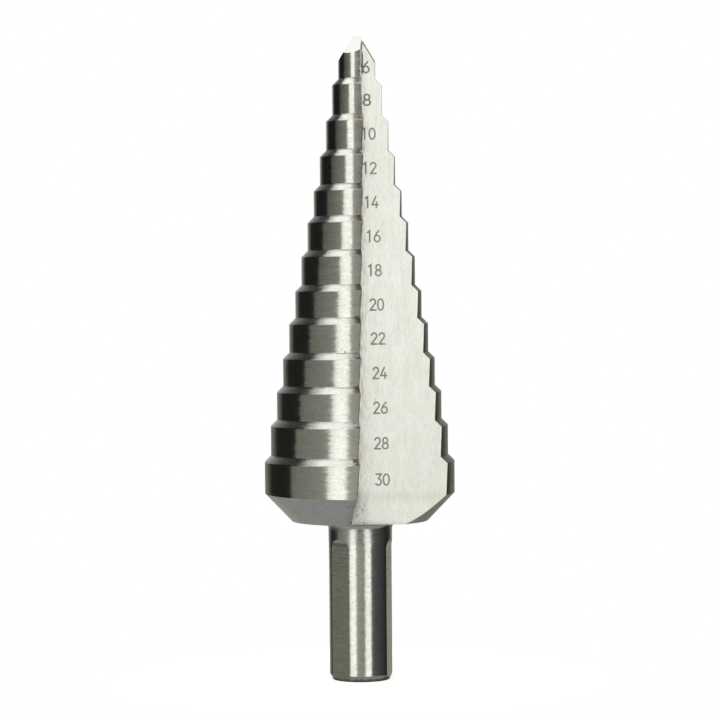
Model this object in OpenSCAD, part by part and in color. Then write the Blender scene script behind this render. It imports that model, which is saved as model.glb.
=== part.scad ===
/* [Steps] */
// Diameter of the first step, the one that the point opens
first_d = 6; // [5:0.5:8]
// How much wider each step is than the one before it
step_rise = 2; // [1.6:0.1:2.4]
// Number of steps
step_count = 13; // [11:1:15]
// Distance from the top of one step to the top of the next
step_pitch = 5.3; // [4:0.1:7]
// Angle between a shoulder and the axis
shoulder_angle = 45; // [35:1:60]
// Straight length of the first step along its cutting edge
first_land = 4.6; // [3:0.1:8]
// Straight length of the widest step
last_land = 5.1; // [3:0.1:8]
// Height of the bevel behind the widest step
back_bevel = 4.2; // [2:0.1:5]
// How far each lobe's centre is moved towards its cutting edge, so that its land clears the hole
land_relief = 0.1; // [0.02:0.01:0.2]

/* [Flutes] */
// Distance from the axis to the flute floor at the widest step
floor_at_base = 6.5; // [6:0.1:7.5]
// Angle at which the flute floor closes in on the axis towards the point
core_taper = 5.7; // [4.5:0.1:6.5]
// Half the thickness of the web that is left between the flutes near the point
web_half = 0.6; // [0.4:0.05:0.9]
// Sideways place of the flute root at the widest step, negative towards its cutting lobe
root_at_base = -2.45; // [-3:0.05:-1.6]
// Sideways place of the flute root at the point
root_at_tip = 0.55; // [0.4:0.05:0.8]
// Angle by which the cutting face leans over the flute
rake = 14; // [8:0.5:16]
// Radius in the root of the flute
root_r = 0.4; // [0.2:0.05:0.8]
// Radius of the grinding wheel where the flute runs out through the back
flute_wheel_r = 7; // [6:0.5:10]

/* [Point] */
// Full angle between the two lips
point_angle = 100; // [90:1:118]
// Slope of the flank behind each lip
lip_relief = 23.5; // [15:0.5:28]
// Slope of the second flank that meets the chisel edge
heel_slope = 60; // [50:1:65]
// Half the length of the chisel edge, measured across the tool
chisel_half = 0.5; // [0.3:0.05:0.8]
// Angle by which the ground facet along the lip leans away from the flute
gash_angle = 8; // [6:0.5:12]
// Angle at which that facet closes in on the cutting edge along the tool
gash_runout = 2; // [1.5:0.1:3]
// Length of that facet
gash_len = 9.7; // [7:0.1:12]
// Sideways place of the lip's outer corner
gash_corner = 0.55; // [0.4:0.05:0.7]

/* [Shank] */
// Diameter of the ground shank
shank_d = 9.9; // [8:0.1:11]
// Length from the end of the shank to the back of the widest step
shank_len = 25.2; // [22:0.1:40]
// How much wider the round neck above the flats is left than the ground shank
neck_extra = 0.1; // [0.05:0.05:0.2]
// Length of the round neck
neck_len = 3.6; // [3:0.1:6]
// Radius of the fillet between the neck and the back of the body
neck_fillet = 0.7; // [0.3:0.1:1.2]
// Depth of the three chuck flats
flat_depth = 0.36; // [0.2:0.02:0.6]
// Radius of the grinding wheel at the upper end of each flat
flat_wheel_r = 2.8; // [2:0.1:4]
// How far the round ends of the flats run out into the neck
flat_overrun = 0.6; // [0.3:0.05:1]
// Direction of the first flat, turned from the front of the tool
first_flat_turn = -43.5; // [-90:0.5:30]
// Radial width of the chamfer at the end of the shank
end_chamfer = 0.55; // [0.2:0.05:1]
// Height of that chamfer
end_chamfer_h = 0.95; // [0.3:0.05:1.5]

/* [Hidden] */
$fn = 96;
STEEL = "#b5b4ac";
LOBES = [0, 180];
FLATS = 3;
EXIT_FACETS = 10;
BITE = 0.005;
SAFE = 1;
REACH = 40;

widest_r = (first_d + step_rise * (step_count - 1)) / 2;
first_r = first_d / 2;
shoulder_h = step_rise / 2 / tan(shoulder_angle);
bevel_top = shank_len + back_bevel;
steps_top = bevel_top + last_land + step_pitch * (step_count - 2);
lip_corner_z = steps_top + shoulder_h + first_land;
tip_z = lip_corner_z + first_r / tan(point_angle / 2);
body_len = tip_z - bevel_top;
neck_r = (shank_d + neck_extra) / 2;
root_drift = atan((root_at_tip - root_at_base) / body_len);
lobe_edge = root_at_tip + first_r * tan(rake) + SAFE;

// Radius of a step, counted from the widest one
function step_r(i) = widest_r - i * step_rise / 2;
// Height of the top of a step, counted from the widest one
function step_top(i) = bevel_top + last_land + i * step_pitch;
// Height of the foot of a step's straight land
function land_foot(i) = i == 0 ? bevel_top : step_top(i - 1) + shoulder_h;

// Height to which the wheel has lifted off the flute floor, some way below the straight run
function lift(drop) = flute_wheel_r - sqrt(flute_wheel_r ^ 2 - drop ^ 2);

// Half outline of the stepped body, drawn in by the relief that moving the lobe gives back
module body_outline() {
    lands = [
        for (i = [0 : step_count - 1])
            for (z = [land_foot(i), i == step_count - 1 ? tip_z : step_top(i)])
                [step_r(i) - land_relief, z]
    ];
    polygon(concat(
        [[0, shank_len], [widest_r - back_bevel - land_relief, shank_len]],
        lands,
        [[0, tip_z]]
    ));
}

// One lobe of the body, centred a little off the axis
module lobe() {
    intersection() {
        translate([0, -land_relief, 0])
            rotate_extrude() body_outline();
        translate([lobe_edge - 2 * REACH, -REACH, 0])
            cube([2 * REACH, 2 * REACH, tip_z + SAFE]);
    }
}

// Section of the flute: a floor along X and a leaning cutting face, joined by the root radius.
// The radius bites a hair into both, so that they cross it cleanly.
module flute_section() {
    root_x = root_r * (1 + sin(rake)) / cos(rake);
    union() {
        polygon([
            [root_x, 0],
            [REACH, 0],
            [REACH, -REACH],
            [REACH * tan(rake), -REACH],
            [root_x - root_r * cos(rake), -root_r * (1 + sin(rake))],
            [root_x, -root_r]
        ]);
        translate([root_x, -root_r])
            circle(r = root_r + BITE);
    }
}

// Long straight part of the flute, never deeper than the web allows
module flute_run() {
    intersection() {
        translate([root_at_base, -floor_at_base, bevel_top])
            rotate([-core_taper, root_drift, 0])
                linear_extrude(body_len + REACH) flute_section();
        translate([-REACH, -web_half - 2 * REACH, 0])
            cube([3 * REACH, 2 * REACH, tip_z + REACH]);
    }
}

// Round end of the flute, where the wheel lifts out through the back of the body.
// The floor follows the wheel, and the cutting face keeps its lean as the floor rises.
// It bites a hair deeper than the straight run, so that the two cuts overlap.
module flute_exit() {
    face = [
        for (k = [0 : EXIT_FACETS])
            let (drop = flute_wheel_r * k / EXIT_FACETS)
                [-BITE - lift(drop) * sin(rake), drop]
    ];
    translate([root_at_base, -floor_at_base, bevel_top])
        rotate([-core_taper, root_drift, 0])
            intersection() {
                union() {
                    translate([-REACH, BITE - flute_wheel_r, 0])
                        rotate([0, 90, 0])
                            cylinder(r = flute_wheel_r, h = 2 * REACH);
                    translate([-REACH, -REACH, -flute_wheel_r])
                        cube([2 * REACH, REACH - flute_wheel_r, flute_wheel_r + 2 * SAFE]);
                }
                rotate([-90, 0, rake])
                    translate([0, 0, -REACH])
                        linear_extrude(2 * REACH)
                            polygon(concat(
                                [[SAFE, -SAFE]],
                                face,
                                [[REACH, flute_wheel_r], [REACH, -SAFE]]
                            ));
            }
}

// Flat facet ground along the lip, which straightens the cutting edge at the point
module lip_gash() {
    translate([gash_corner, -first_r, lip_corner_z])
        rotate([0, -gash_runout, -gash_angle])
            translate([0, -first_r, -gash_len])
                cube([first_r, 2 * first_r - web_half - SAFE / 2, gash_len + 2 * first_r]);
}

// What the wheel takes off above one lip: the flank behind it and the steeper second flank
module flanks() {
    lip_slope = 1 / tan(point_angle / 2);
    relief_slope = tan(lip_relief);
    translate([0, 0, tip_z])
        rotate([atan(lip_slope / norm([1, relief_slope])), -lip_relief, 0])
            translate([-REACH / 2, -REACH / 2, 0])
                cube(REACH);
    translate([-chisel_half, 0, tip_z])
        rotate([0, -heel_slope, 0])
            translate([-REACH / 2, -REACH / 2, 0])
                cube(REACH);
}

// Ground shank with its end chamfer, the round neck and the fillet under the body
module shank() {
    shank_r = shank_d / 2;
    neck_foot = shank_len - neck_len;
    rotate_extrude() {
        polygon([
            [0, 0],
            [shank_r - end_chamfer, 0],
            [shank_r, end_chamfer_h],
            [shank_r, neck_foot],
            [neck_r, neck_foot],
            [neck_r, shank_len + SAFE],
            [0, shank_len + SAFE]
        ]);
    }
    rotate_extrude()
        difference() {
            translate([neck_r / 2, shank_len - neck_fillet])
                square([neck_r / 2 + neck_fillet, neck_fillet + SAFE / 2]);
            translate([neck_r + neck_fillet, shank_len - neck_fillet])
                circle(r = neck_fillet);
        }
}

// Cut of one chuck flat, with the round end that its wheel leaves in the neck
module chuck_flat() {
    flat_r = shank_d / 2 - flat_depth;
    clear_r = flat_wheel_r - (neck_r - flat_r);
    flat_top = shank_len - neck_len + flat_overrun - sqrt(flat_wheel_r ^ 2 - clear_r ^ 2);
    translate([-shank_d, -flat_r - 2 * flat_wheel_r, -SAFE])
        cube([2 * shank_d, 2 * flat_wheel_r, flat_top + SAFE]);
    translate([0, -flat_r - flat_wheel_r, flat_top])
        rotate([0, 90, 0])
            cylinder(r = flat_wheel_r, h = 2 * shank_d, center = true);
}

module step_drill() {
    color(STEEL)
        difference() {
            union() {
                for (turn = LOBES)
                    rotate([0, 0, turn]) lobe();
                shank();
            }
            for (turn = LOBES)
                rotate([0, 0, turn]) {
                    flute_run();
                    flute_exit();
                    lip_gash();
                    flanks();
                }
            for (i = [0 : FLATS - 1])
                rotate([0, 0, first_flat_turn + i * 360 / FLATS]) chuck_flat();
        }
}

step_drill();
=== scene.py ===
import bpy, bmesh, math
import numpy as np
from mathutils import Matrix, Vector


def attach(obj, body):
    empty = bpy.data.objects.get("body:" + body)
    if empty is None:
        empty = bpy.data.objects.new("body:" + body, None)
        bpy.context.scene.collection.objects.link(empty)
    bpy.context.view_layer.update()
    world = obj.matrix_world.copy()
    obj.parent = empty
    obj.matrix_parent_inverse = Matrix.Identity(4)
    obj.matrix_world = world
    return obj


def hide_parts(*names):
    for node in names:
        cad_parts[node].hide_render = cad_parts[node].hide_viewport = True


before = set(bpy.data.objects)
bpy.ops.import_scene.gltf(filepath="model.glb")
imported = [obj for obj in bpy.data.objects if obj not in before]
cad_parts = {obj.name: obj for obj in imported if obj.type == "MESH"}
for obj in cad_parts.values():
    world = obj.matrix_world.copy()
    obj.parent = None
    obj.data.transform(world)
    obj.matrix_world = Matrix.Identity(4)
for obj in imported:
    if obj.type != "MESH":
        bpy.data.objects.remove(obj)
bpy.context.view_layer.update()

MM = 0.001
NODE = "step_drill"

# Sizes in mm, as in the part's source
FIRST_D, STEP_RISE, STEPS = 6.0, 2.0, 13
PITCH, SHOULDER_H = 5.3, 1.0
LAST_LAND, FIRST_LAND = 5.1, 4.6
SHANK_LEN, BACK_BEVEL = 25.2, 4.2
RELIEF = 0.1
FLOOR_AT_BASE, CORE_TAPER, WEB_HALF = 6.5, math.radians(5.7), 0.6
ROOT_AT_BASE, ROOT_AT_TIP = -2.45, 0.55
RAKE, ROOT_R, BITE, WHEEL_R = math.radians(14), 0.4, 0.005, 7.0
LIP_RELIEF, POINT_HALF = math.radians(23.5), math.radians(50)
HEEL_SLOPE, CHISEL_HALF = math.radians(60), 0.5
GASH_ANGLE, GASH_RUNOUT, GASH_CORNER = math.radians(8), math.radians(2), 0.55
SHANK_R, NECK_R, NECK_LEN, NECK_FILLET = 4.95, 5.0, 3.6, 0.7
END_CHAMFER, END_CHAMFER_H = 0.55, 0.95
FLAT_COUNT, FIRST_FLAT_TURN, FLAT_R = 3, math.radians(-43.5), SHANK_R - 0.36
BEVEL_TOP = SHANK_LEN + BACK_BEVEL
WIDEST = FIRST_D / 2 + STEP_RISE / 2 * (STEPS - 1)
STEPS_TOP = BEVEL_TOP + LAST_LAND + PITCH * (STEPS - 2)
LIP_Z = STEPS_TOP + SHOULDER_H + FIRST_LAND
TIP_Z = LIP_Z + FIRST_D / 2 / math.tan(POINT_HALF)
DRIFT = math.atan((ROOT_AT_TIP - ROOT_AT_BASE) / (TIP_Z - BEVEL_TOP))

# Camera, as in the photograph: its distance and place, and the height that it aims at, in mm
CAM_DIST, CAM_X, CAM_Z, AIM_Z = 480.0, 0.17, 67.8, 50.2
ROLL = math.radians(0.4526)
FOCAL, SENSOR = 153.0, 36.0
CLIP = (0.01, 20.0)


def rot_x(a):
    return np.array([[1, 0, 0], [0, math.cos(a), -math.sin(a)], [0, math.sin(a), math.cos(a)]])


def rot_y(a):
    return np.array([[math.cos(a), 0, math.sin(a)], [0, 1, 0], [-math.sin(a), 0, math.cos(a)]])


def rot_z(a):
    return np.array([[math.cos(a), -math.sin(a), 0], [math.sin(a), math.cos(a), 0], [0, 0, 1]])


# The front flute's own axes, and a normal (N) and a point (P) of each flat face of the front lobe
HALF_TURN = np.array([-1.0, -1.0, 1.0])
FLUTE_AXES = rot_y(DRIFT) @ rot_x(-CORE_TAPER)
FLUTE_ORIGIN = np.array([ROOT_AT_BASE, -FLOOR_AT_BASE, BEVEL_TOP])
FLOOR_N = FLUTE_AXES @ np.array([0, -1, 0])
WALL_N = FLUTE_AXES @ np.array([math.cos(RAKE), math.sin(RAKE), 0])
FLUTE_UP = FLUTE_AXES @ np.array([0, 0, 1])
GASH_N = rot_y(-GASH_RUNOUT) @ rot_z(-GASH_ANGLE) @ np.array([1, 0, 0])
GASH_P = np.array([GASH_CORNER, -FIRST_D / 2, LIP_Z])
TIP_P = np.array([0, 0, TIP_Z])
FLANK_TILT = math.atan(1 / math.tan(POINT_HALF) / math.hypot(1, math.tan(LIP_RELIEF)))
FLANK_N = rot_y(-LIP_RELIEF) @ rot_x(FLANK_TILT) @ np.array([0, 0, 1])
HEEL_N = rot_y(-HEEL_SLOPE) @ np.array([0, 0, 1])
HEEL_P = np.array([-CHISEL_HALF, 0, TIP_Z])


def step_r(i):
    """Radius of a step, counted from the widest one."""
    return WIDEST - i * STEP_RISE / 2


def step_top(i):
    """Height of the top of a step, counted from the widest one."""
    return BEVEL_TOP + LAST_LAND + i * PITCH


def new_object(name, mesh):
    o = bpy.data.objects.new(name, mesh)
    bpy.context.scene.collection.objects.link(o)
    return o


def make_camera():
    data = bpy.data.cameras.new("camera")
    data.lens, data.sensor_width = FOCAL, SENSOR
    data.clip_start, data.clip_end = CLIP
    cam = bpy.data.objects.new("camera", data)
    bpy.context.scene.collection.objects.link(cam)
    place = Vector((CAM_X, -CAM_DIST, CAM_Z)) * MM
    ahead = (Vector((CAM_X, 0, AIM_Z)) * MM - place).normalized()
    right0 = Vector((1, 0, 0))
    up0 = right0.cross(ahead)
    right = right0 * math.cos(ROLL) - up0 * math.sin(ROLL)
    up = right0 * math.sin(ROLL) + up0 * math.cos(ROLL)
    m = Matrix((right, up, -ahead)).transposed().to_4x4()
    m.translation = place
    cam.matrix_world = m
    bpy.context.scene.camera = cam


class Nodes:
    """A small builder of shader nodes: numbers, tuples and sockets are all taken as inputs."""

    def __init__(self, name):
        self.mat = bpy.data.materials.new(name)
        self.mat.use_nodes = True
        self.tree = self.mat.node_tree
        self.tree.nodes.clear()
        self.out = self.tree.nodes.new("ShaderNodeOutputMaterial")

    def add(self, kind, **props):
        n = self.tree.nodes.new("ShaderNode" + kind)
        for k, v in props.items():
            setattr(n, k, v)
        return n

    def put(self, socket, value):
        if isinstance(value, bpy.types.NodeSocket):
            self.tree.links.new(value, socket)
        else:
            socket.default_value = value

    def math(self, op, a, b=0.0):
        n = self.add("Math", operation=op)
        self.put(n.inputs[0], a)
        self.put(n.inputs[1], b)
        return n.outputs[0]

    def fold(self, op, terms):
        out = terms[0]
        for term in terms[1:]:
            out = self.math(op, out, term)
        return out

    def total(self, *terms):
        return self.fold("ADD", terms)

    def product(self, *terms):
        return self.fold("MULTIPLY", terms)

    def vec(self, op, a, b=(0, 0, 0), scale=1.0):
        n = self.add("VectorMath", operation=op)
        self.put(n.inputs[0], a)
        if op == "SCALE":
            self.put(n.inputs["Scale"], scale)
        elif op not in ("NORMALIZE", "LENGTH"):
            self.put(n.inputs[1], b)
        return n.outputs["Value"] if op in ("DOT_PRODUCT", "LENGTH") else n.outputs["Vector"]

    def mm(self):
        """Place on the object in mm."""
        return self.vec("SCALE", self.add("TexCoord").outputs["Object"], scale=1 / MM)

    def rest(self):
        """Place in mm on the drill as its source draws it."""
        return self.add("Attribute", attribute_name="rest").outputs["Vector"]

    def axes(self, v):
        """The x, y and z of a vector."""
        n = self.add("SeparateXYZ")
        self.put(n.inputs[0], v)
        return n.outputs

    def noise(self, v, scale, stretch=(1, 1, 1), detail=2.0, rough=0.5, shift=(0, 0, 0)):
        n = self.add("TexNoise")
        self.put(n.inputs["Vector"], self.vec("MULTIPLY", self.vec("ADD", v, shift), stretch))
        n.inputs["Scale"].default_value = scale
        n.inputs["Detail"].default_value = detail
        n.inputs["Roughness"].default_value = rough
        return n.outputs[0]

    def band(self, x, lo, hi, out_lo=0.0, out_hi=1.0):
        """Goes smoothly from out_lo to out_hi while x goes from lo to hi."""
        n = self.add("MapRange", interpolation_type="SMOOTHSTEP")
        values = {"Value": x, "From Min": lo, "From Max": hi, "To Min": out_lo, "To Max": out_hi}
        for name, v in values.items():
            self.put(n.inputs[name], v)
        return n.outputs["Result"]

    def swing(self, noise, amount):
        """A noise that swings round 0, by about the amount to each side."""
        return self.math("MULTIPLY", self.math("SUBTRACT", noise, 0.5), 2 * amount)

    def colour(self, red, green, blue):
        n = self.add("CombineColor")
        for socket, v in zip(n.inputs, (red, green, blue)):
            self.put(socket, v)
        return n.outputs[0]

    def mix(self, f, a, b):
        """Mixes two colours, by a factor that is 0 for the first."""
        n = self.add("Mix", data_type="RGBA")
        self.put(n.inputs[0], f)
        self.put(n.inputs[6], (*a, 1) if isinstance(a, tuple) else a)
        self.put(n.inputs[7], (*b, 1) if isinstance(b, tuple) else b)
        return n.outputs[2]

    def plane(self, v, normal, point):
        """Signed distance in mm from a plane."""
        along = self.vec("DOT_PRODUCT", v, tuple(normal))
        return self.math("SUBTRACT", along, float(np.dot(normal, point)))


# Studio
def emission(name):
    g = Nodes(name)
    em = g.add("Emission")
    at = g.add("Attribute", attribute_name="glow")
    g.put(em.inputs["Color"], at.outputs["Color"])
    em.inputs["Strength"].default_value = 1.0
    g.put(g.out.inputs["Surface"], em.outputs[0])
    return g.mat


def blend(a, b, t):
    return a * (1 - t) + b * t


def grid_faces(n, k):
    """Faces of a grid that is n cells wide and k cells high."""
    first = [j * (n + 1) + i for j in range(k) for i in range(n)]
    return [(q, q + 1, q + n + 2, q + n + 1) for q in first]


# Width and height of a panel's cells in degrees, and the height of the studio's centre in metres
CELL_AZ, CELL_EL, STUDIO_Z = 4, 6, 0.05
# Distance of the panels in metres. Where two overlap, the nearer one shows.
NEAR, BETWEEN, BEHIND = 1.40, 1.42, 1.45


def panel(name, az, el, low, high, tint, away=NEAR):
    """A curved studio panel round the object. Azimuth 0 is towards the camera, negative to its left.
    low and high are the glow at its left and right edges, along the bottom and along the top.
    Two more azimuths, of its left and right edges along the top, make its sides lean."""
    az_top = az[2:] or az
    n = max(2, int(abs(az[1] - az[0]) / CELL_AZ) + 1)
    k = max(2, int(abs(el[1] - el[0]) / CELL_EL) + 1)
    verts, glow = [], []
    for v in [j / k for j in range(k + 1)]:
        e = math.radians(el[0] + (el[1] - el[0]) * v)
        out = away * math.cos(e)
        for u in [i / n for i in range(n + 1)]:
            a = math.radians(blend(blend(az[0], az[1], u), blend(az_top[0], az_top[1], u), v))
            verts.append((out * math.sin(a), -out * math.cos(a), STUDIO_Z + away * math.sin(e)))
            g = blend(blend(*low, u), blend(*high, u), v)
            glow.append((g * tint[0], g * tint[1], g * tint[2], 1.0))
    me = bpy.data.meshes.new(name)
    me.from_pydata(verts, [], grid_faces(n, k))
    attr = me.color_attributes.new("glow", "FLOAT_COLOR", "POINT")
    for d, g in zip(attr.data, glow):
        d.color = g
    o = new_object(name, me)
    me.materials.append(emission(name))
    o.visible_camera = False


# Tints of the light
OLIVE = (0.99, 1.0, 0.84)
WARM = (1.0, 1.0, 0.965)
SOFT = (0.99, 1.0, 0.92)
PALE = (0.99, 1.0, 0.985)
COOL = (0.95, 1.0, 1.0)
PANELS = [
    # name, azimuths, elevations, glow along the bottom, glow along the top, tint, distance
    ("rim_low", (-180, -165), (-40, -7), (0.50, 0.60), (0.50, 0.45), OLIVE),
    ("rim_base", (-180, -165), (-7, -3), (0.20, 0.23), (0.17, 0.22), OLIVE),
    ("rim_mid", (-180, -165), (-3, 2.7), (0.17, 0.22), (0.60, 0.57), OLIVE),
    ("rim_upper", (-180, -165), (2.7, 4.2), (0.60, 0.57), (0.95, 0.85), OLIVE),
    ("rim_high", (-180, -165), (4.2, 7), (0.95, 0.85), (0.50, 0.48), COOL),
    ("rim_top", (-180, -165), (7, 56), (0.52, 0.50), (0.30, 0.12), COOL),
    ("fade_low", (-165, -138), (-40, -7), (0.60, 0.25), (0.45, 0.10), OLIVE),
    ("fade_base", (-165, -138), (-7, -3), (0.29, 0.06), (0.25, 0.06), OLIVE),
    ("fade_mid", (-165, -138), (-3, 2.7), (0.25, 0.06), (0.55, 0.02), OLIVE),
    ("fade_upper", (-165, -138), (2.7, 4.2), (0.55, 0.02), (0.85, 0.15), OLIVE),
    ("fade_high", (-165, -138), (4.2, 7), (0.85, 0.15), (0.48, 0.07), COOL),
    ("fade_top", (-165, -138), (7, 56), (0.50, 0.08), (0.14, 0.03), COOL),
    ("flag_low", (-138, -80), (-40, -14), (0.22, 0.20), (0.03, 0.03), COOL, BEHIND),
    ("flag_base", (-138, -80), (-14, 2), (0.022, 0.016), (0.020, 0.016), OLIVE, BEHIND),
    ("tail_left", (-138, -124), (2, 4.2), (0.02, 0.012), (0.12, 0.012), COOL),
    ("tail_left_high", (-138, -124), (4.2, 54), (0.12, 0.012), (0.03, 0.02), COOL),
    ("flag_left", (-124, -80), (2, 54), (0.014, 0.013), (0.03, 0.03), OLIVE, BEHIND),
    ("wall_left_low", (-91.5, -37), (-40, -4), (0.235, 0.35), (0.235, 0.35), OLIVE, BETWEEN),
    ("wall_left_base", (-91.5, -37, -86, -37), (-4, 0.5), (0.235, 0.35), (0.15, 0.31), OLIVE, BETWEEN),
    ("wall_left_mid", (-86, -37), (0.5, 6), (0.15, 0.31), (0.045, 0.26), OLIVE),
    ("wall_left_high", (-86, -37), (6, 22), (0.045, 0.26), (0.06, 0.30), OLIVE),
    ("wall_left_top", (-86, -37), (22, 56), (0.30, 0.80), (1.20, 1.40), WARM),
    ("softbox_left_low_edge", (-40.5, -34), (-40, -5), (1.35, 1.55), (1.35, 1.55), SOFT),
    ("softbox_left_base_edge", (-40.5, -34, -37, -30), (-5, -3), (1.35, 1.55), (1.20, 1.5), SOFT),
    ("softbox_left_edge", (-37, -30), (-3, 56), (1.20, 1.5), (0.9, 1.5), SOFT),
    ("softbox_left_low", (-34, -16.8), (-40, -5), (1.55, 1.6), (1.55, 1.6), SOFT),
    ("softbox_left_base", (-34, -16.8, -30, -14.4), (-5, -3), (1.55, 1.6), (1.5, 1.6), SOFT),
    ("softbox_left", (-30, -14.4, -30, -13), (-3, 3), (1.5, 1.6), (1.5, 1.6), SOFT),
    ("softbox_left_high", (-30, -13), (3, 56), (1.5, 1.6), (1.5, 1.6), SOFT),
    ("wall_front_foot", (-18, 24), (-40, -21), (0.16, 0.14), (0.16, 0.14), OLIVE, BEHIND),
    ("wall_front_base", (-18, 24), (-21, -9), (0.16, 0.14), (0.50, 0.33), OLIVE, BEHIND),
    ("wall_front_low", (-18, 24), (-9, -3), (0.50, 0.33), (0.45, 0.30), OLIVE, BEHIND),
    ("wall_front_mid", (-15, 24), (-3, 1), (0.45, 0.30), (0.44, 0.14), OLIVE, BEHIND),
    ("wall_front_high", (-15, 24), (1, 9), (0.44, 0.14), (0.42, 0.04), OLIVE, BEHIND),
    ("softbox_front", (-13, 24), (9, 56), (1.45, 1.45), (1.45, 1.45), WARM),
    ("softbox_right_low", (15.8, 38.4), (-40, -5), (1.5, 1.5), (1.5, 1.5), WARM),
    ("softbox_right_base", (15.8, 38.4, 24, 39), (-5, -3), (1.5, 1.5), (1.5, 1.5), WARM),
    ("softbox_right", (24, 39), (-3, 56), (1.5, 1.5), (1.5, 1.5), WARM),
    ("flag_right", (37, 115), (-40, 56), (0.130, 0.012), (0.130, 0.012), COOL, BEHIND),
    ("fade_right_near", (115, 140), (-40, 56), (0.03, 0.06), (0.03, 0.06), OLIVE),
    ("fade_right_low", (140, 180), (-40, -12), (0.20, 0.34), (0.20, 0.34), OLIVE),
    ("fade_right_base", (140, 180), (-12, -6), (0.26, 0.50), (0.30, 0.45), OLIVE),
    ("fade_right", (140, 180), (-6, 5), (0.07, 0.34), (0.07, 0.38), OLIVE),
    ("fade_right_high", (140, 180), (5, 56), (0.07, 0.38), (0.06, 0.30), OLIVE),
    ("overhead_back", (-180, -125), (56, 82), (1.75, 1.75), (1.75, 1.75), PALE),
    ("overhead_edge", (-125, -90), (56, 63), (0.35, 0.40), (1.45, 1.45), SOFT),
    ("overhead_left", (-125, -90), (63, 82), (1.50, 1.50), (1.60, 1.60), SOFT),
    ("overhead", (-90, 180), (56, 82), (1.45, 1.45), (1.5, 1.5), WARM),
    ("zenith", (-180, 180), (82, 90), (0.14, 0.14), (0.10, 0.10), OLIVE),
    ("below", (-180, 180), (-90, -40), (0.38, 0.38), (0.38, 0.38), WARM),
]


def make_studio():
    world = bpy.data.worlds.new("studio")
    bpy.context.scene.world = world
    world.use_nodes = True
    bg = world.node_tree.nodes["Background"]
    bg.inputs["Color"].default_value = (1, 1, 1, 1)
    bg.inputs["Strength"].default_value = 1.0
    for p in PANELS:
        panel(*p)


FLOOR_R, FLOOR_SIDES, FLOOR_Z = 0.040, 96, -1e-5
FLOOR_GREY, FLOOR_LIFT = 0.86, 0.62


def floor_material():
    """Pale grey, lifted to the backdrop's white where it is seen and not where it lights the drill."""
    g = Nodes("floor")
    diff = g.add("BsdfDiffuse")
    diff.inputs["Color"].default_value = (FLOOR_GREY, FLOOR_GREY, FLOOR_GREY, 1)
    lift = g.add("Emission")
    path = g.add("LightPath")
    seen = g.math("MAXIMUM", path.outputs["Is Camera Ray"], path.outputs["Is Glossy Ray"])
    seen = g.math("MAXIMUM", seen, path.outputs["Is Transmission Ray"])
    g.put(lift.inputs["Strength"], g.product(seen, FLOOR_LIFT))
    add = g.add("AddShader")
    g.put(add.inputs[0], diff.outputs[0])
    g.put(add.inputs[1], lift.outputs[0])
    g.put(g.out.inputs["Surface"], add.outputs[0])
    return g.mat


def make_floor():
    me = bpy.data.meshes.new("floor")
    turns = [2 * math.pi * i / FLOOR_SIDES for i in range(FLOOR_SIDES)]
    border = [(FLOOR_R * math.cos(a), FLOOR_R * math.sin(a), FLOOR_Z) for a in turns]
    me.from_pydata(border, [], [tuple(range(FLOOR_SIDES))])
    me.materials.append(floor_material())
    o = new_object("floor", me)
    o.visible_glossy = False


# Materials
BROWN = (0.20, 0.13, 0.07)
RIM_BROWN = (0.16, 0.12, 0.08)
FOOT_BROWN = (0.155, 0.135, 0.09)
BURNT = (0.13, 0.10, 0.075)
PIT_BLACK = (0.06, 0.05, 0.04)
SPECK_GREY = (0.12, 0.11, 0.10)
# Colour of the exit floor's darkening towards the bottom, of its dashes, and of the painted shade along its root
EXIT_GREY = (0.22, 0.20, 0.15)
# Painted dark reflection along the heel edge at the point
HEEL_SHADE_GREY = (0.12, 0.14, 0.16)
# Painted shade in the deep gap beside the lip
GAP_SHADE_BLACK = (0.03, 0.022, 0.015)
FADE_BROWN = (0.10, 0.08, 0.06)
SAWN_DARK, SAWN_LIGHT = (0.18, 0.13, 0.09), (0.55, 0.52, 0.47)
MARK_DARK, MARK_LIGHT = (0.25, 0.24, 0.215), (0.45, 0.43, 0.39)
# Tint of the ground faces
GROUND_TINT = (0.995, 1.0, 0.93)
# How far the edges between the turned surfaces are broken (mm)
EDGE_BREAK = 0.04

# Brown residue left on the front lobe beside the cutting edge: x and z of each patch in mm
RESIDUE = [(-0.55, 35.2), (-0.25, 46.0), (-0.3, 56.6)]
# Small pits and scratches on the front side: x and z of each in mm, half its width and height, its strength
FLOOR_PITS = [
    (0.28, 27.28, 0.12, 0.12, 0.8), (0.20, 26.90, 0.05, 0.09, 0.5), (0.28, 25.42, 0.10, 0.14, 0.5),
    (-0.9, 26.5, 0.08, 0.10, 0.4), (1.05, 28.9, 0.06, 0.06, 0.4), (2.46, 44.20, 0.06, 0.18, 0.5),
    (1.85, 79.20, 0.14, 0.05, 0.35), (2.0, 79.10, 0.08, 0.05, 0.35),
]
BODY_PITS = [
    (-1.88, 28.35, 0.11, 0.11, 0.7), (-1.95, 25.75, 0.2, 0.2, 0.45), (-2.09, 51.5, 0.13, 0.13, 0.75),
    (-2.7, 51.9, 0.08, 0.08, 0.5), (-5.6, 62.0, 0.07, 0.07, 0.4),
]
SHANK_PITS = [(2.20, 23.05, 0.42, 0.055, 0.6), (1.75, 22.95, 0.12, 0.05, 0.4), (-2.4, 21.3, 0.30, 0.05, 0.35)]


def metal(g, colour, rough, normal=None, metallic=1.0):
    b = g.add("BsdfPrincipled")
    g.put(b.inputs["Base Color"], colour)
    g.put(b.inputs["Roughness"], rough)
    b.inputs["Metallic"].default_value = metallic
    if normal is not None:
        g.put(b.inputs["Normal"], normal)
    g.put(g.out.inputs["Surface"], b.outputs[0])


def tinted(g, level, tint):
    """The colour of a grey level, times a tint."""
    return g.colour(*[g.product(level, k) for k in tint])


def on_front(g, p):
    """1 on the side towards the camera, and 0 behind."""
    return g.math("LESS_THAN", g.axes(p)[1], 0.0)


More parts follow.
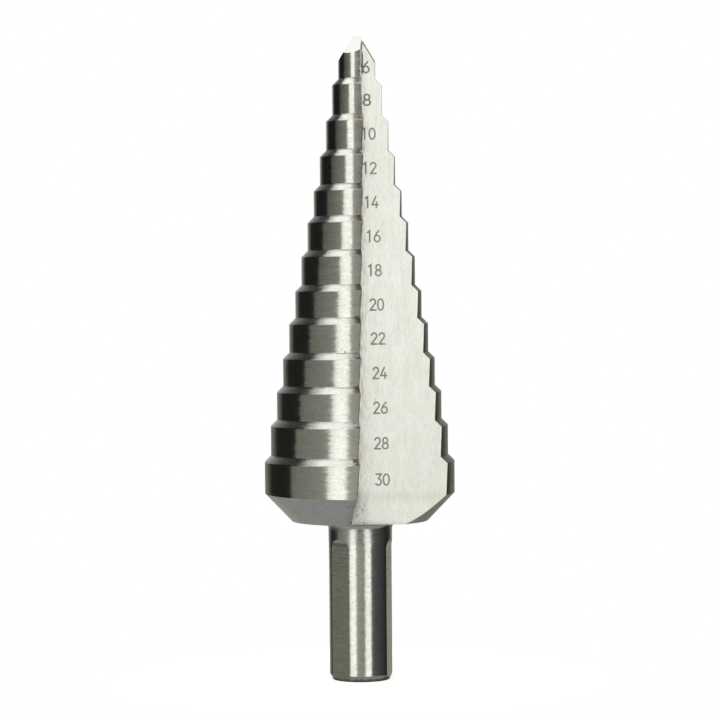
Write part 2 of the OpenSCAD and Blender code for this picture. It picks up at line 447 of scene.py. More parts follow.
def edge_distance(g, p):
    """Distance in mm from the nearer cutting face, which is the distance from the cutting edge on a lobe."""
    n = g.add("Mix", data_type="FLOAT")
    g.put(n.inputs[0], g.math("GREATER_THAN", g.axes(p)[1], 0.0))
    g.put(n.inputs[2], g.math("ABSOLUTE", g.plane(p, WALL_N, FLUTE_ORIGIN)))
    g.put(n.inputs[3], g.math("ABSOLUTE", g.plane(p, WALL_N * HALF_TURN, FLUTE_ORIGIN * HALF_TURN)))
    return n.outputs[0]


def above_step_top(g, p):
    """Height in mm above the top of the widest step, and above the nearest step top below."""
    z = g.math("SUBTRACT", g.axes(p)[2], step_top(0))
    return z, g.math("FLOORED_MODULO", z, PITCH)


def turned_normal(g, around, along, round_off):
    """The surface normal, rocked round the tool and along it by turning marks, with edges just broken."""
    normal = g.add("NewGeometry").outputs["Normal"]
    if round_off:
        edge = g.add("Bevel", samples=4)
        edge.inputs["Radius"].default_value = round_off * MM
        normal = edge.outputs["Normal"]
    tangent = g.vec("NORMALIZE", g.vec("CROSS_PRODUCT", (0, 0, 1), normal))
    side = g.vec("SCALE", tangent, scale=around)
    rise = g.vec("SCALE", g.vec("CROSS_PRODUCT", normal, tangent), scale=along)
    return g.vec("NORMALIZE", g.vec("ADD", normal, g.vec("ADD", side, rise)))


def stained(g, colour, edge, patch, amount):
    """Brown patches beside the cutting edge."""
    near = g.product(g.band(edge, 0.35, 1.2, 1.0, 0.0), g.band(patch, 0.36, 0.52), amount)
    return g.mix(near, colour, BROWN)


def dark_rim_and_residue(g, p, colour, edge, amount):
    """A dark ragged line along the cutting edge, and the residue beside it."""
    speck = g.noise(p, 1.0, (1.5, 1.5, 2.2), 3.0, 0.7, (6, 2, 2))
    # A dark line along the cutting edge: ragged within 0.3 mm of it, and solid right at it
    darkened = g.product(g.band(edge, 0.05, 0.30, 1.0, 0.0), g.band(speck, 0.44, 0.56))
    darkened = g.math("MAXIMUM", darkened, g.band(edge, 0.04, 0.14, 0.6, 0.0))
    colour = g.mix(g.product(darkened, amount), colour, RIM_BROWN)
    for x, z in RESIDUE:
        off = g.vec("MULTIPLY", g.vec("SUBTRACT", p, (x, 0, z)), (1, 0, 1.4))
        far = g.total(g.vec("LENGTH", off), g.swing(speck, 0.5))
        colour = g.mix(g.product(on_front(g, p), g.band(far, 0.30, 0.60, 0.85, 0.0)), colour, BROWN)
    return colour


def dark_corner_band(g, p, colour, coarse, amount):
    """A brown darkening across the corner at the upper end of each shoulder, where the next step starts."""
    height = above_step_top(g, p)[1]
    # Brown darkening across the corner where the shoulder meets the next step
    low = g.product(g.band(height, 0.68, 0.92), g.band(height, 1.3, 1.6, 1.0, 0.0))
    darker = g.product(low, g.band(coarse, 0.40, 0.62, 0.25, 1.0), amount)
    return g.mix(darker, colour, FOOT_BROWN)


def raised_crest(g, p, amount):
    """Tips the normal up just below each step's top, on the side where the photograph shows a light line."""
    z, height = above_step_top(g, p)
    near_top = g.band(height, PITCH - 0.14, PITCH - 0.04)
    below_last = g.math("LESS_THAN", z, PITCH * (STEPS - 2) + 0.1)
    x, y, _ = g.axes(g.add("NewGeometry").outputs["Normal"])
    lit = g.band(g.product(x, y, -1.0), -0.30, -0.14, 1.0, 0.08)
    return g.product(near_top, below_last, lit, amount)


def pitted(g, p, colour, pits):
    front = on_front(g, p)
    for x, z, wide, high, strength in pits:
        off = g.vec("MULTIPLY", g.vec("SUBTRACT", p, (x, 0, z)), (1 / wide, 0, 1 / high))
        dot = g.band(g.vec("LENGTH", off), 0.6, 1.5, strength, 0.0)
        colour = g.mix(g.product(front, dot), colour, PIT_BLACK)
    return colour


def turned_steel(name, base=0.6, rough=0.15, wobble=0.03, tilt=0.03, tint=(1.0, 1.0, 0.97), mottle=1.0,
                 round_off=EDGE_BREAK, stain=0.0, foot=0.0, rim=0.0, crest=0.0, pits=(), extra=None):
    """Turned steel. wobble and tilt rock the normal round the tool and along it; mottle scales the grain;
    stain is the strength of the brown patches, foot of the brown darkening in the corners above the shoulders,
    rim of the dark line and residue along the cutting edge and crest of the raised normal; extra changes the
    colour, roughness and tilt."""
    g = Nodes(name)
    p = g.rest()
    fine = g.noise(p, 1.0, (0.35, 0.35, 4.5), 3.0, 0.6)
    hair = g.noise(p, 1.0, (0.50, 0.50, 9.0), 2.0, 0.6, (4, 4, 9))
    coarse = g.noise(p, 1.0, (0.45, 0.45, 1.8), 3.0, 0.65, (7, 3, 1))
    patch = g.noise(p, 0.55, (1, 1, 1.6), 3.0, 0.6, (2, 9, 4))
    grain = g.noise(p, 5.0, (1, 1, 1.5), 2.0, 0.6, (8, 1, 5))
    grit = g.noise(p, 2.4, (1, 1, 2.2), 3.0, 0.7, (3, 8, 6))
    wave = g.noise(p, 1.0, (0.15, 0.15, 6.0), 2.0, 0.5, (1, 5, 8))
    shade = g.total(g.swing(fine, 0.06), g.swing(patch, 0.08), g.swing(grain, 0.08), g.swing(grit, 0.15))
    colour = tinted(g, g.total(g.product(shade, mottle), base), tint)
    roughness = g.total(g.swing(coarse, 0.06), g.swing(hair, 0.10), rough)
    around = g.total(g.swing(coarse, wobble), g.swing(fine, wobble * 0.6))
    along = g.total(g.swing(wave, tilt), g.swing(hair, tilt))
    edge = edge_distance(g, p)
    if stain:
        colour = stained(g, colour, edge, patch, stain)
    if rim:
        colour = dark_rim_and_residue(g, p, colour, edge, rim)
        rub = g.noise(p, 1.0, (3.0, 3.0, 3.6), 3.0, 0.7, (9, 5, 2))
        around = g.total(around, g.product(g.band(edge, 0.2, 1.6, 1.0, 0.0), g.swing(rub, 0.08)))
    if foot:
        colour = dark_corner_band(g, p, colour, coarse, foot)
    if pits:
        colour = pitted(g, p, colour, pits)
    if crest:
        along = g.total(along, raised_crest(g, p, crest))
    if extra:
        colour, roughness, along = extra(g, p, colour, roughness, along)
    metal(g, colour, roughness, turned_normal(g, around, along, round_off))
    return g.mat


def neck_and_shank(g, p, colour, roughness, along):
    """The neck is turned more coarsely than the shank, leans in a little and curves out under the body."""
    z = g.axes(p)[2]
    flare = g.product(g.band(z, 22.9, 24.8), g.band(z, 24.75, 25.1, 1.0, 0.0))
    along = g.math("SUBTRACT", along, g.product(flare, flare, 0.55))
    neck = g.band(z, SHANK_LEN - NECK_LEN - 0.1, SHANK_LEN - NECK_LEN + 0.3)
    along = g.math("SUBTRACT", along, g.product(neck, 0.09))
    roughness = g.total(roughness, g.product(neck, 0.07))
    specks = g.noise(p, 1.6, (1, 1, 1), 4.0, 0.75, (4, 8, 1))
    return g.mix(g.band(specks, 0.64, 0.70, 0.0, 0.6), colour, SPECK_GREY), roughness, along


def burnt_end(g, p, colour, roughness, along):
    """The lower part of the end chamfer is brown and ragged where the bar was cut off."""
    rag = g.noise(p, 1.4, (1, 1, 1), 3.0, 0.7, (2, 2, 2))
    low = g.band(g.total(g.axes(p)[2], g.swing(rag, 0.5)), 0.30, 0.60, 0.75, 0.0)
    return g.mix(low, colour, BURNT), g.total(roughness, g.product(low, 0.2)), along


def exit_marks_and_shade(g, p, colour):
    """Where the wheel lifted out of a flute: the floor darker towards the bottom, dark dashes on it, and painted
    shade with some grime along the root.
    """
    x, y, z = g.axes(p)
    side = g.product(x, g.math("SIGN", g.product(y, -1.0)))
    # Darker towards the bottom of the exit
    darker_low = g.product(g.band(z, 25.2, 26.4, 0.07, 0.18), g.band(z, 28.6, 30.6, 1.0, 0.0))
    # Painted shade with some grime, on the floor beside the cutting face at the bottom
    root_shade_and_grime = g.product(g.band(side, 0.4, 1.9, 0.14, 0.0), g.band(z, 29.0, 31.5, 1.0, 0.0))
    dash = g.noise(p, 1.0, (4.2, 4.2, 0.9), 3.0, 0.7, (2, 7, 5))
    dash = g.product(g.band(dash, 0.60, 0.70), g.band(z, 27.5, 33.0, 0.35, 0.0))
    dash = g.product(dash, g.band(side, 0.5, 6.0, 1.0, 0.2))
    return pitted(g, p, g.mix(g.total(darker_low, root_shade_and_grime, dash), colour, EXIT_GREY), FLOOR_PITS)


def on_front_lobe(g, p):
    """The place, given a half turn where it is at the back, so that both halves are marked alike."""
    n = g.add("Mix", data_type="VECTOR")
    g.put(n.inputs[0], g.math("GREATER_THAN", g.axes(p)[1], 0.0))
    g.put(n.inputs[4], p)
    g.put(n.inputs[5], g.vec("MULTIPLY", p, tuple(HALF_TURN)))
    return n.outputs[1]


def tip_shade_lines(g, p, colour, amount):
    """On the web: a painted dark reflection along the ground heel edge at the point, and painted shade in the gap
    beside the lip.
    """
    q = on_front_lobe(g, p)
    z = g.axes(p)[2]
    # A grey-blue line painted along the heel edge: painted dark reflection of the ground edge
    heel = g.product(g.plane(q, HEEL_N * HALF_TURN, HEEL_P * HALF_TURN), -1.0)
    broad = g.band(z, 98.3, 100.2, 0.0, 0.12)
    line = g.band(g.math("SUBTRACT", heel, broad), 0.12, 0.28, 1.0, 0.0)
    colour = g.mix(g.product(line, amount), colour, HEEL_SHADE_GREY)
    # Painted shade, nearly black, in the deep gap beside the lip
    inner = g.band(g.axes(q)[0], 0.93, 1.10, 1.0, 0.0)
    tall = g.product(g.band(z, 94.0, 94.8), g.band(z, 97.6, 98.6, 1.0, 0.0))
    return g.mix(g.product(inner, tall, amount), colour, GAP_SHADE_BLACK)


def ground_steel(name, base=0.598, rough=0.26, gap=0.0, fade=0.0, shaded_marked_exit=False):
    """A face ground along the flute. shaded_marked_exit adds the marks and the painted shade where the wheel
    lifted out, gap the painted dark reflection and painted shade at the point, and fade the brown foot of the
    facet along the lip."""
    g = Nodes(name)
    p = g.rest()
    hair = g.noise(p, 1.0, (6.0, 6.0, 0.12), 3.0, 0.65)
    broad = g.noise(p, 1.0, (1.3, 1.3, 0.07), 2.0, 0.5, (5, 0, 3))
    grain = g.noise(p, 3.2, (1, 1, 0.35), 3.0, 0.65, (3, 1, 7))
    patch = g.noise(p, 0.35, (1, 1, 0.8), 4.0, 0.65, (1, 2, 3))
    cool = g.noise(p, 1.0, (2.6, 2.6, 0.16), 2.0, 0.5, (11, 4, 6))
    shade = g.total(g.swing(hair, 0.16), g.swing(broad, 0.05), g.swing(patch, 0.07), g.swing(grain, 0.06))
    hue = g.total(g.swing(cool, 0.09), g.swing(patch, 0.07))
    red, blue = g.math("SUBTRACT", GROUND_TINT[0], g.product(hue, 0.4)), g.total(hue, GROUND_TINT[2])
    colour = tinted(g, g.total(shade, base), (red, GROUND_TINT[1], blue))
    if shaded_marked_exit:
        colour = exit_marks_and_shade(g, p, colour)
    if gap:
        colour = tip_shade_lines(g, p, colour, gap)
    if fade:
        colour = g.mix(g.band(g.axes(p)[2], 90.4, 92.0, fade, 0.0), colour, FADE_BROWN)
    normal = g.add("NewGeometry").outputs["Normal"]
    across = g.vec("CROSS_PRODUCT", tuple(FLUTE_UP), normal)
    rock = g.vec("SCALE", across, scale=g.swing(hair, 0.12))
    metal(g, colour, g.total(g.swing(hair, 0.08), rough), g.vec("NORMALIZE", g.vec("ADD", normal, rock)))
    return g.mat


def cut_end(name):
    g = Nodes(name)
    p = g.rest()
    saw = g.noise(p, 1.0, (0.5, 6.0, 1.0), 4.0, 0.7)
    patch = g.noise(p, 0.9, (1, 1, 1), 4.0, 0.7, (3, 3, 3))
    colour = g.mix(g.total(g.product(saw, 0.6), g.product(patch, 0.4)), SAWN_DARK, SAWN_LIGHT)
    metal(g, colour, g.total(g.swing(saw, 0.2), 0.5))
    return g.mat


def mark_material():
    g = Nodes("mark")
    grain = g.noise(g.mm(), 6.0, (1, 1, 0.5), 3.0, 0.6)
    colour = g.mix(grain, MARK_DARK, MARK_LIGHT)
    metal(g, colour, g.total(g.swing(grain, 0.15), 0.5), metallic=0.6)
    return g.mat


MATERIALS = {
    "land": lambda: turned_steel("land", rim=0.6, crest=0.5, pits=BODY_PITS),
    "shoulder": lambda: turned_steel("shoulder", 0.6, 0.2, 0.03, 0.04, stain=0.9, foot=0.6, rim=0.6),
    "bevel": lambda: turned_steel("bevel", 0.59, 0.32, 0.03, 0.03, (0.965, 1.0, 0.985), stain=0.2, rim=0.3,
                                  pits=BODY_PITS),
    "shank": lambda: turned_steel("shank", 0.6, 0.17, 0.035, 0.04, pits=SHANK_PITS, extra=neck_and_shank),
    "flat": lambda: turned_steel("flat", 0.64, 0.2, 0.03, 0.12, (1.0, 1.0, 0.90)),
    "end_chamfer": lambda: turned_steel("end_chamfer", 0.52, 0.3, 0.03, 0.06, extra=burnt_end),
    "floor": lambda: ground_steel("floor_steel", shaded_marked_exit=True),
    "web": lambda: ground_steel("web_steel", gap=0.95),
    "wall": lambda: ground_steel("wall_steel", 0.6, 0.4),
    "gash": lambda: ground_steel("gash_steel", 0.5, 0.3, fade=0.8),
    "flank": lambda: turned_steel("flank", 0.60, 0.22, 0.006, 0.008, mottle=0.35, round_off=0),
    "under": lambda: turned_steel("under", 0.55, 0.35, 0.02, 0.02, round_off=0),
    "end": lambda: cut_end("end"),
    "other": lambda: turned_steel("other", 0.6, 0.2, 0.02, 0.03, round_off=0),
}
REGIONS = list(MATERIALS)


# The drill
# Cosines above which two normals count as the same, and as near enough
SAME_WAY, NEAR_WAY = 0.9999, 0.97
# How far a corner may lie off a curved surface, off one when a flat face fits too, past a surface's ends,
# and off a flat face (mm); FAR stands for a corner that is past an end
CURVE_SLACK, CLOSE_SLACK, END_SLACK, PLANE_SLACK, FAR = 0.03, 0.003, 0.02, 0.012, 9


def fit_cylinder(cy, r, z0, z1):
    def fit(p):
        q = np.hypot(p[:, 0], p[:, 1] - cy)
        off = np.abs(q - r)
        off[(p[:, 2] < z0 - END_SLACK) | (p[:, 2] > z1 + END_SLACK)] = FAR
        return off, np.stack([p[:, 0], p[:, 1] - cy, 0 * q], 1) / q[:, None]
    return fit


def fit_cone(cy, r0, z0, r1, z1):
    slope = (r1 - r0) / (z1 - z0)
    long = math.hypot(1, slope)

    def fit(p):
        q = np.hypot(p[:, 0], p[:, 1] - cy)
        off = np.abs(q - (r0 + (p[:, 2] - z0) * slope)) / long
        off[(p[:, 2] < min(z0, z1) - END_SLACK) | (p[:, 2] > max(z0, z1) + END_SLACK)] = FAR
        return off, np.stack([p[:, 0] / q, (p[:, 1] - cy) / q, 0 * q - slope], 1) / long
    return fit


def fit_root(s):
    """The root radius of a flute."""
    turn = np.diag([s, s, 1])
    axes = turn @ FLUTE_AXES
    root_x = ROOT_R * (1 + math.sin(RAKE)) / math.cos(RAKE)

    def fit(p):
        x, y, z = ((p - turn @ FLUTE_ORIGIN) @ axes).T
        d = np.stack([x - root_x, y + ROOT_R, 0 * z], 1)
        r = np.linalg.norm(d, axis=1)
        return np.abs(r - ROOT_R - BITE), -(d / r[:, None]) @ axes.T
    return fit


# A flute's exit ends this far above the height where the wheel starts to lift out (mm)
EXIT_SEAM = 0.4


def fit_exit_floor(s):
    """The floor of a flute where the wheel lifts out."""
    turn = np.diag([s, s, 1])
    axes = turn @ FLUTE_AXES

    def fit(p):
        x, y, z = ((p - turn @ FLUTE_ORIGIN) @ axes).T
        d = np.stack([0 * x, y - BITE + WHEEL_R, z], 1)
        off = np.abs(np.linalg.norm(d, axis=1) - WHEEL_R)
        off[z > EXIT_SEAM] = FAR
        d[:, 2] = np.minimum(z, 0)
        return off, -(d / np.linalg.norm(d, axis=1)[:, None]) @ axes.T
    return fit


def fit_exit_wall(s):
    """The cutting face of a flute where the wheel lifts out: it keeps its lean as the floor rises."""
    turn = np.diag([s, s, 1])
    axes = turn @ FLUTE_AXES

    def fit(p):
        x, y, z = ((p - turn @ FLUTE_ORIGIN) @ axes).T
        drop = np.clip(-z, 0, WHEEL_R - 0.1)
        root = np.sqrt(WHEEL_R ** 2 - drop ** 2)
        u = x * math.cos(RAKE) + y * math.sin(RAKE)
        off = np.abs(u + BITE + (WHEEL_R - root) * math.sin(RAKE))
        off[z > EXIT_SEAM] = FAR
        k = math.sin(RAKE) * drop / root
        n = np.stack([math.cos(RAKE) + 0 * k, math.sin(RAKE) + 0 * k, -k], 1)
        return off, (n / np.linalg.norm(n, axis=1)[:, None]) @ axes.T
    return fit


def step_surfaces(cy):
    """The lands and shoulders of one lobe, whose centre is at cy."""
    found = []
    for i in range(STEPS):
        r = step_r(i) - RELIEF
        foot = BEVEL_TOP if i == 0 else step_top(i - 1) + SHOULDER_H
        if i == STEPS - 1:
            found.append(("land", fit_cylinder(cy, r, foot, TIP_Z)))
            break
        found.append(("land", fit_cylinder(cy, r, foot, step_top(i))))
        found.append(("shoulder", fit_cone(cy, r, step_top(i), r - STEP_RISE / 2, step_top(i) + SHOULDER_H)))
    return found


def curved_surfaces():
    """The drill's curved surfaces: (region, fit), where fit gives distances and normals for points in mm."""
    found = []
    for s in (1, -1):
        cy = -RELIEF * s
        found += step_surfaces(cy)
        bevel = fit_cone(cy, WIDEST - BACK_BEVEL - RELIEF, SHANK_LEN, WIDEST - RELIEF, BEVEL_TOP)
        found += [("bevel", bevel), ("wall", fit_root(s))]
        found += [("floor", fit_exit_floor(s)), ("wall", fit_exit_wall(s))]
    found.append(("shank", fit_cylinder(0, SHANK_R, END_CHAMFER_H, SHANK_LEN - NECK_LEN)))
    found.append(("shank", fit_cylinder(0, NECK_R, SHANK_LEN - NECK_LEN, SHANK_LEN - NECK_FILLET)))
    found.append(("end_chamfer", fit_cone(0, SHANK_R - END_CHAMFER, 0, SHANK_R, END_CHAMFER_H)))
    return found


def both(n, p):
    """A flat face of the front lobe and its half turn: the normal and a point of each."""
    return [(n, p), (n * HALF_TURN, p * HALF_TURN)]


def flats():
    turns = [FIRST_FLAT_TURN + 2 * math.pi * i / FLAT_COUNT for i in range(FLAT_COUNT)]
    normals = [np.array([math.sin(a), -math.cos(a), 0]) for a in turns]
    return [(n, FLAT_R * n) for n in normals]


FRONT, DOWN = np.array([0, -1, 0]), np.array([0, 0, -1])
# Normal and one point of each flat face of a region
PLANES = {
    "floor": both(FLOOR_N, FLUTE_ORIGIN),
    "wall": both(WALL_N, FLUTE_ORIGIN),
    "web": both(FRONT, WEB_HALF * FRONT),
    "gash": both(GASH_N, GASH_P),
    "flank": both(FLANK_N, TIP_P) + both(HEEL_N, HEEL_P),
    "flat": flats(),
    "end": [(DOWN, np.zeros(3))],
    "under": [(DOWN, -SHANK_LEN * DOWN), (DOWN, (NECK_LEN - SHANK_LEN) * DOWN)],
}
# How far the shading normals of the floor and the web lean towards the point
FLOOR_LEAN, WEB_LEAN = 0.09, 0.19


def leaned(normals, lean):
    """The normals, leaned towards the point."""
    out = normals + [0, 0, lean]
    return out / np.linalg.norm(out, axis=1)[:, None]


def regions_of(me, co):
    """The region of every face, exact normals for its corners where they are known, and its vertices."""
    fits = [(name, *fit(co)) for name, fit in curved_surfaces()]
    leans = {"floor": FLOOR_LEAN, "web": WEB_LEAN}
    found = []
    for p in me.polygons:
        idx = [me.loops[i].vertex_index for i in p.loop_indices]
        n, q = np.array(p.normal), co[idx]
        region, corner, best = "other", None, CURVE_SLACK
        for name, planes in PLANES.items():
            if any(n @ d > SAME_WAY and np.abs((q - at) @ d).max() < PLANE_SLACK for d, at in planes):
                region, corner, best = name, np.repeat(n[None], len(q), 0), CLOSE_SLACK
        for name, off, normals in fits:
            if off[idx].max() < best and (normals[idx] @ n).min() > NEAR_WAY:
                best, region, corner = off[idx].max(), name, normals[idx]
        if region == "other" and q[:, 2].max() < SHANK_LEN:
            region = "shank"
        if region in leans:
            corner = leaned(corner, leans[region])
        found.append((region, corner, idx))
    return found


# How much higher each shoulder is than the even pitch has it, as on the tool in the photograph (mm, widest first)
WANDER = (-0.14, 0.19, 0.17, 0.10, 0.20, 0.0, 0.07, 0.08, -0.27, -0.20, -0.02, 0.33)
# The shoulders fall away behind the cutting edges by this much in a quarter turn (mm)
AXIAL_RELIEF = 0.25
# The side of each flute's exit moves this far at the back of the body, and less up to this height (mm)
EXIT_SHIFT, EXIT_TOP = 0.70, 27.9
# The body's back edge moves this far along the tool, and the shift dies out this far below it (mm)
BASE_SHIFT, BASE_REACH = -0.18, 2
# A point that is nearer than this to the plane of a flute's floor is on the floor (mm)
ON_FLOOR = 0.01
# A lobe starts and ends at these turns from the front (degrees)
LOBE_FROM, LOBE_TO = -35, 145


def behind_edge(co):
    """Angle in quarter turns behind the cutting edge of the lobe that a point lies on."""
    turn = np.degrees(np.arctan2(-co[:, 0], -co[:, 1]))
    turn = np.where((turn > LOBE_FROM) & (turn < LOBE_TO), turn, (turn + 360) % 360 - 180)
    return turn / 90


def wandered(co):
    """The drill's points with the shoulders at the heights they were ground to. Flute floors stay flat."""
    knots = [0, SHANK_LEN - BASE_REACH, SHANK_LEN, BEVEL_TOP]
    shifts, slopes = [0, 0, BASE_SHIFT, 0], [0, 0, 0, 0]
    for i, d in enumerate(WANDER):
        knots += [step_top(i), step_top(i) + SHOULDER_H]
        shifts += [d, d]
        slopes += [AXIAL_RELIEF, AXIAL_RELIEF]
    knots, shifts, slopes = knots + [LIP_Z, TIP_Z], shifts + [0, 0], slopes + [0, 0]
    z = co[:, 2]
    rise = np.interp(z, knots, shifts) + np.interp(z, knots, slopes) * (1 - behind_edge(co))
    out = co.copy()
    out[:, 2] += rise
    for s in (1, -1):
        turn = np.diag([s, s, 1])
        on = np.abs((co - turn @ FLUTE_ORIGIN) @ (turn @ FLOOR_N)) < ON_FLOOR
        out[on, 1] -= s * rise[on] * FLOOR_N[2] / FLOOR_N[1]
    return out


def straight_exit(co, faces):
    """Moves the side of each flute's exit, so that its edge runs straight down the bevel."""
    moved = set()
    for region, _, idx in faces:
        if region == "wall" and co[idx, 2].max() < BEVEL_TOP + 0.3:
            moved.update(i for i in idx if co[i, 2] < EXIT_TOP)
    for i in moved:
        x, y, z = co[i]
        s = -math.copysign(1, y)
        cy = -s * RELIEF
        r = WIDEST - RELIEF - (BEVEL_TOP - z) * BACK_BEVEL / (BEVEL_TOP - SHANK_LEN)
        on_bevel = abs(math.hypot(x, y - cy) - r) < END_SLACK
        x += s * EXIT_SHIFT * (EXIT_TOP - z) / (EXIT_TOP - SHANK_LEN)
        if on_bevel:
            y = cy - s * math.sqrt(r * r - x * x)
        co[i] = (x, y, z)


# The neck flares out under the body on this radius, from this height (mm)
FLARE_R, FLARE_FROM = 1.5, 23.7
FLARE_RINGS = (23.7, 24.0, 24.25)


def add_rings(bm):
    """Cuts more rings into the neck, so that it can flare."""
    for z in FLARE_RINGS:
        parts = bm.verts[:] + bm.edges[:] + bm.faces[:]
        bmesh.ops.bisect_plane(bm, geom=parts, dist=1e-7, plane_co=(0, 0, z * MM), plane_no=(0, 0, 1))


def flared(co, rest):
    """The drill's points with the neck widened under the body; rest gives their even heights."""
    z = rest[:, 2]
    rise = np.clip(z - FLARE_FROM, 0, FLARE_R)
    wide = NECK_R + FLARE_R - np.sqrt(FLARE_R ** 2 - rise ** 2)
    r = np.hypot(co[:, 0], co[:, 1])
    on = (z > FLARE_FROM) & (z < SHANK_LEN + 0.01) & (r > NECK_R - 0.05) & (r < NECK_R + NECK_FILLET + 0.01)
    out = co.copy()
    out[on, :2] *= (np.maximum(wide[on], r[on]) / r[on])[:, None]
    return out


def rounded(v, places=7):
    return tuple(round(x, places) for x in v)


def corner_normals(me):
    """The shading normals of a mesh: a table by face centre, of a table by corner place."""
    known, normals = {}, me.corner_normals
    for p in me.polygons:
        corners = [(me.vertices[me.loops[i].vertex_index].co, normals[i].vector) for i in p.loop_indices]
        known[rounded(p.center)] = {rounded(co, 6): Vector(n) for co, n in corners}
    return known


def welded(mesh):
    """A copy of a mesh with its corners joined and with more rings in the neck."""
    bm = bmesh.new()
    bm.from_mesh(mesh)
    bmesh.ops.remove_doubles(bm, verts=bm.verts, dist=1e-7)
    add_rings(bm)
    me = bpy.data.meshes.new("drill")
    bm.to_mesh(me)
    bm.free()
    return me


def make_drill():
    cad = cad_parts[NODE]
    known = corner_normals(cad.data)
    me = welded(cad.data)
    co = np.array([v.co for v in me.vertices]) / MM
    normals = [None] * len(me.loops)
    faces = regions_of(me, co)
    for p, (region, corner, idx) in zip(me.polygons, faces):
        if corner is None:
            at = known.get(rounded(p.center), {})
            corner = [at.get(rounded(me.vertices[i].co, 6), p.normal) for i in idx]
        p.material_index = REGIONS.index(region)
        p.use_smooth = True
        for i, n in zip(p.loop_indices, corner):
            normals[i] = tuple(n)
    rest = me.attributes.new("rest", "FLOAT_VECTOR", "POINT")
    rest.data.foreach_set("vector", co.ravel())
    co = flared(wandered(co), co)
    straight_exit(co, faces)
    me.vertices.foreach_set("co", (co * MM).ravel())
    me.normals_split_custom_set(normals)
    for r in REGIONS:
        me.materials.append(MATERIALS[r]())
    o = new_object("drill", me)
    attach(o, "root")
    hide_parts(NODE)


# Size marks
def arc(cx, cy, rx, ry, a0, a1, n):
    turns = [math.radians(a0 + (a1 - a0) * i / n) for i in range(n + 1)]
    return [(cx + rx * math.cos(a), cy + ry * math.sin(a)) for a in turns]


def ring(cx, cy, rx, ry, n):
    """A closed round stroke."""
    return arc(cx, cy, rx, ry, 90, 450, n)[:-1]


# Strokes of each digit, in a box 1 high and about half as wide, centred across: (closed, points)
DIGITS = {
    "0": [(True, ring(0, 0.5, 0.225, 0.425, 32))],
    "1": [(False, [(-0.15, 0.79), (0.02, 0.925), (0.02, 0.075)])],
    "2": [(False, arc(0, 0.70, 0.205, 0.225, 165, -25, 16) + [(-0.20, 0.08)]),
          (False, [(-0.215, 0.075), (0.225, 0.075)])],
    "3": [(False, [(-0.19, 0.925), (0.19, 0.925), (-0.01, 0.57)]),
          (False, arc(-0.03, 0.325, 0.225, 0.25, 85, -145, 18))],
    "4": [(False, [(0.06, 0.925), (-0.225, 0.30), (0.235, 0.30)]),
          (False, [(0.11, 0.52), (0.11, 0.075)])],
    "6": [(True, ring(0, 0.325, 0.215, 0.25, 28)),
          (False, [(0.13, 0.925), (-0.06, 0.70), (-0.20, 0.43)])],
    "8": [(True, ring(0, 0.715, 0.18, 0.21, 26)),
          (True, ring(0, 0.29, 0.215, 0.215, 28))],
}
DIGIT_H, STROKE, DIGIT_STEP = 2.0, 0.26, 1.20
# Each mark: its text, how far it is off the row sideways, its height and how wide its digits are
MARKS = [
    ("30", -0.10, 31.84, 1.0), ("28", -0.02, 37.45, 1.0), ("26", 0.07, 42.94, 1.0), ("24", 0.19, 48.33, 1.0),
    ("22", 0.14, 53.67, 1.0), ("20", 0.18, 58.95, 1.0), ("18", 0.06, 64.29, 1.0), ("16", 0.10, 69.58, 1.0),
    ("14", 0.0, 74.91, 1.0), ("12", -0.06, 80.23, 1.0), ("10", 0.0, 85.60, 1.0), ("8", 0.0, 90.90, 1.2),
    ("6", 0.08, 95.99, 1.08),
]
# The row of the marks: its x at the shank's end, and how x changes with the height (mm)
ROW_X, ROW_DRIFT = 4.706, -0.0347
# How far the marks stand proud, and how much more each next stroke does, so that crossing strokes differ (mm)
MARK_PROUD, STROKE_LIFT = 0.004, 0.0012


def floor_point(x, z):
    """The point at x and z on the front flute's floor, or on the web where the floor would be deeper."""
    o = FLUTE_ORIGIN
    y = o[1] - ((x - o[0]) * FLOOR_N[0] + (z - o[2]) * FLOOR_N[2]) / FLOOR_N[1]
    return np.array([x, min(y, -WEB_HALF), z])


# A border never stands further out at a bend than the half width over this
MITRE = 0.45


def ribbon(p, closed, width):
    """Left and right borders of a stroke along the points p."""
    n = len(p)
    left, right = [], []
    for i in range(n):
        a = p[i] - p[i - 1] if closed or i > 0 else p[1] - p[0]
        b = p[(i + 1) % n] - p[i] if closed or i < n - 1 else p[-1] - p[-2]
        a, b = a / np.linalg.norm(a), b / np.linalg.norm(b)
        t = (a + b) / np.linalg.norm(a + b)
        m = np.array([-t[1], t[0]]) / max(MITRE, float(np.dot(t, a)))
        left.append(p[i] + m * width / 2)
        right.append(p[i] - m * width / 2)
    return left, right


def round_cap(centre, toward, width, n=6):
    """The round end of a stroke, between its two borders."""
    a0 = math.atan2(toward[1], toward[0]) + math.pi / 2
    turns = [a0 - math.pi * i / n for i in range(1, n)]
    return [centre + width / 2 * np.array([math.cos(a), math.sin(a)]) for a in turns]


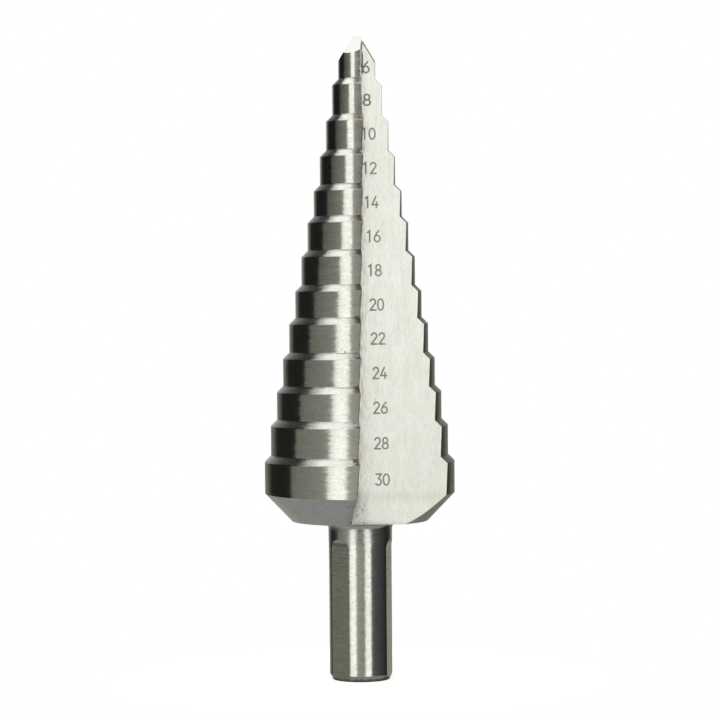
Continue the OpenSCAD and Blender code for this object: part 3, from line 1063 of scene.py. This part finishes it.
def add_stroke(bm, points, closed, place, lift):
    """A closed flat solid along a stroke; place(q, h) gives its points in metres, h mm above the floor."""
    p, width = np.array(points), STROKE / DIGIT_H
    n = len(p)
    sides = ribbon(p, closed, width)
    top = [[bm.verts.new(place(q, lift)) for q in side] for side in sides]
    low = [[bm.verts.new(place(q, -MARK_PROUD)) for q in side] for side in sides]
    for i in range(n if closed else n - 1):
        j = (i + 1) % n
        bm.faces.new((top[0][i], top[1][i], top[1][j], top[0][j]))
        bm.faces.new((low[0][j], low[1][j], low[1][i], low[0][i]))
        bm.faces.new((top[0][j], low[0][j], low[0][i], top[0][i]))
        bm.faces.new((top[1][i], low[1][i], low[1][j], top[1][j]))
    if closed:
        return
    for i, k, first, last in ((0, 1, 1, 0), (n - 1, n - 2, 0, 1)):
        rim = round_cap(p[i], p[i] - p[k], width)
        tops = [top[first][i]] + [bm.verts.new(place(q, lift)) for q in rim] + [top[last][i]]
        lows = [low[first][i]] + [bm.verts.new(place(q, -MARK_PROUD)) for q in rim] + [low[last][i]]
        bm.faces.new(list(reversed(tops)))
        bm.faces.new(lows)
        for a in range(len(tops) - 1):
            bm.faces.new((tops[a], tops[a + 1], lows[a + 1], lows[a]))


def strokes():
    """Every stroke of the marks: closed or not, its points, and the digit's place and width factor."""
    for text, shift, z, wide in MARKS:
        for k, digit in enumerate(text):
            x = ROW_X + ROW_DRIFT * z + shift + (k - (len(text) - 1) / 2) * DIGIT_STEP
            for closed, points in DIGITS[digit]:
                yield closed, points, x, z, wide


def make_marks():
    bm = bmesh.new()
    for count, (closed, points, x, z, wide) in enumerate(strokes(), 1):
        def place(q, h):
            on_floor = floor_point(x + q[0] * DIGIT_H * wide, z + (q[1] - 0.5) * DIGIT_H)
            return Vector(on_floor + h * FLOOR_N) * MM
        add_stroke(bm, points, closed, place, MARK_PROUD + STROKE_LIFT * (count % 3))
    bmesh.ops.recalc_face_normals(bm, faces=bm.faces)
    me = bpy.data.meshes.new("size_numerals")
    bm.to_mesh(me)
    bm.free()
    me.materials.append(mark_material())
    o = new_object("size_numerals", me)
    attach(o, "root")


bpy.context.scene.view_settings.view_transform = "Standard"
make_camera()
make_studio()
make_floor()
make_drill()
make_marks()
